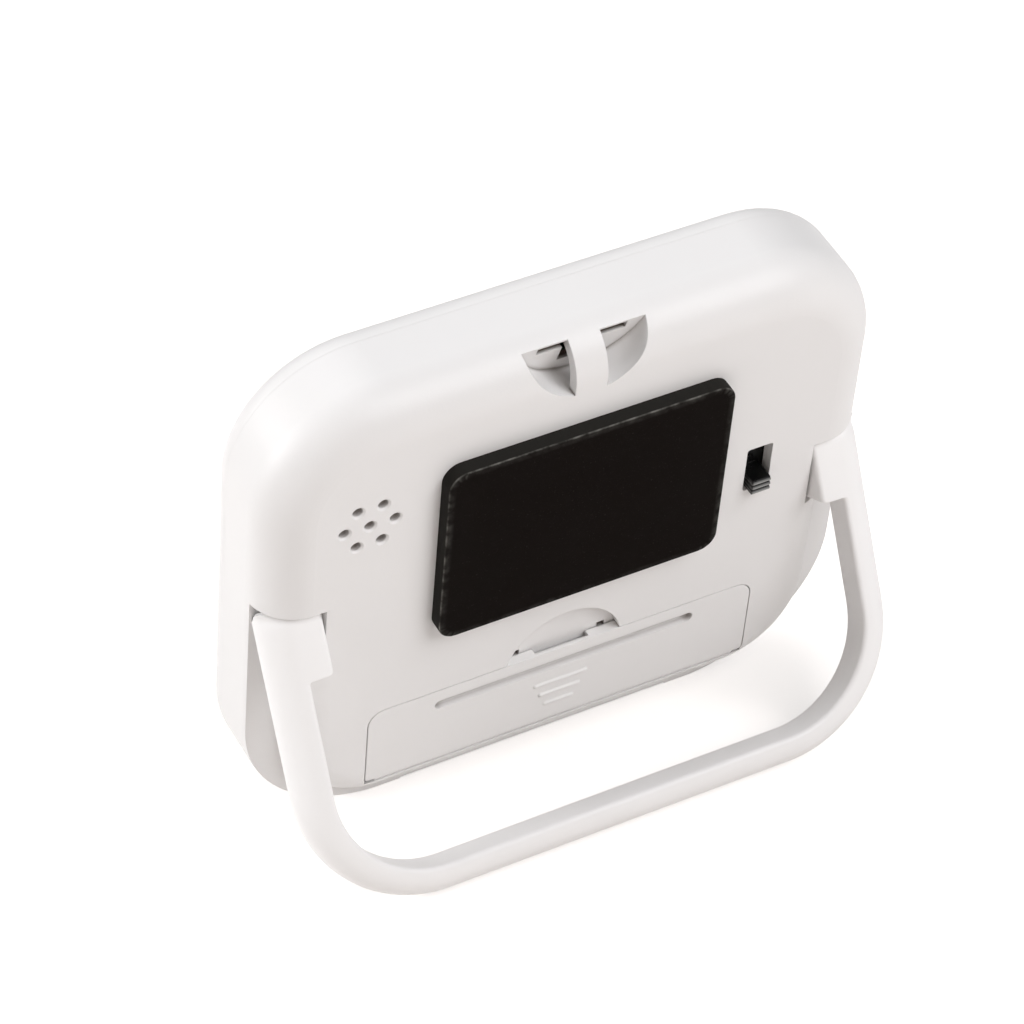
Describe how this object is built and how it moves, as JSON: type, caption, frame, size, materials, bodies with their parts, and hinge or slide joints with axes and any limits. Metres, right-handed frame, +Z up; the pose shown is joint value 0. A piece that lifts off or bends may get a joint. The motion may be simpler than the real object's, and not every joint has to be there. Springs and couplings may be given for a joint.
{
  "type": "kitchen timer",
  "caption": "Digital kitchen timer: rounded two-part case with display window, push buttons, folding U-shaped stand, back magnet, slide switch and battery door.",
  "frame": {"origin": "middle of the timer's footprint on the table, with the stand open", "axes": "+X across the case, the sounder's side; -Y the way the screen faces; +Z up from the table"},
  "size_m": [0.086, 0.0372, 0.0754],
  "materials": {
    "front_case": "satin",
    "rear_case": "satin",
    "door": "satin",
    "stand_plastic": "satin",
    "lens": "polished",
    "lcd": "satin",
    "contact_rubber": "matte",
    "board": "satin",
    "sealing_compound": "gloss",
    "bright_metal": "bright",
    "tin_plate": "satin",
    "capacitor_sleeve": "gloss",
    "key_plastic": "matte",
    "pale_button": "satin",
    "start_cap": "satin",
    "knob": "gloss",
    "sounder_brass": "bright",
    "ceramic": "silvered",
    "cell_jacket": "printed film",
    "magnet": "matte"
  },
  "bodies": {
    "case": {"front_shell": "front_case", "rear_shell": "rear_case", "display_lens": "lens", "lcd_glass": "lcd", "lcd_strip": "contact_rubber", "main_board": "board", "timer_chip": "sealing_compound", "crystal": "bright_metal", "capacitor": "capacitor_sleeve", "key_switches": "key_plastic", "switch_body": "tin_plate", "buzzer_disc": "sounder_brass", "buzzer_ceramic": "ceramic", "buzzer_springs": "bright_metal", "battery_cell": "cell_jacket", "battery_spring": "bright_metal", "spring_plate": "tin_plate", "nub_plate": "tin_plate", "magnet_sheet": "magnet", "board_screws": "bright_metal"},
    "folding_stand": {"stand": "stand_plastic"},
    "door": {"battery_door": "door"},
    "minute_key": {"minute_button": "pale_button"},
    "second_key": {"second_button": "pale_button"},
    "start_key": {"start_button": "start_cap"},
    "slider": {"switch_knob": "knob"}
  },
  "joints": [
    {"name": "stand_fold", "type": "hinge", "parent": "case", "child": "folding_stand", "pos_m": [0, 0.00453, 0.03984], "axis": [-1, 0, 0], "range_deg": [0, 30]},
    {"name": "door_tilt", "type": "hinge", "parent": "case", "child": "door", "pos_m": [0, -0.00057, 0.00749], "axis": [-1, 0, 0], "range_deg": [0, 75]},
    {"name": "minute_press", "type": "slide", "parent": "case", "child": "minute_key", "axis": [0, 0.979, -0.2039], "range_m": [0, 0.0005], "stiffness_N_per_m": 800},
    {"name": "second_press", "type": "slide", "parent": "case", "child": "second_key", "axis": [0, 0.979, -0.2039], "range_m": [0, 0.0005], "stiffness_N_per_m": 800},
    {"name": "start_press", "type": "slide", "parent": "case", "child": "start_key", "axis": [0, 0.979, -0.2039], "range_m": [0, 0.0005], "stiffness_N_per_m": 800},
    {"name": "switch_slide", "type": "slide", "parent": "case", "child": "slider", "axis": [0, 0.2039, 0.979], "range_m": [0, 0.0045]}
  ]
}
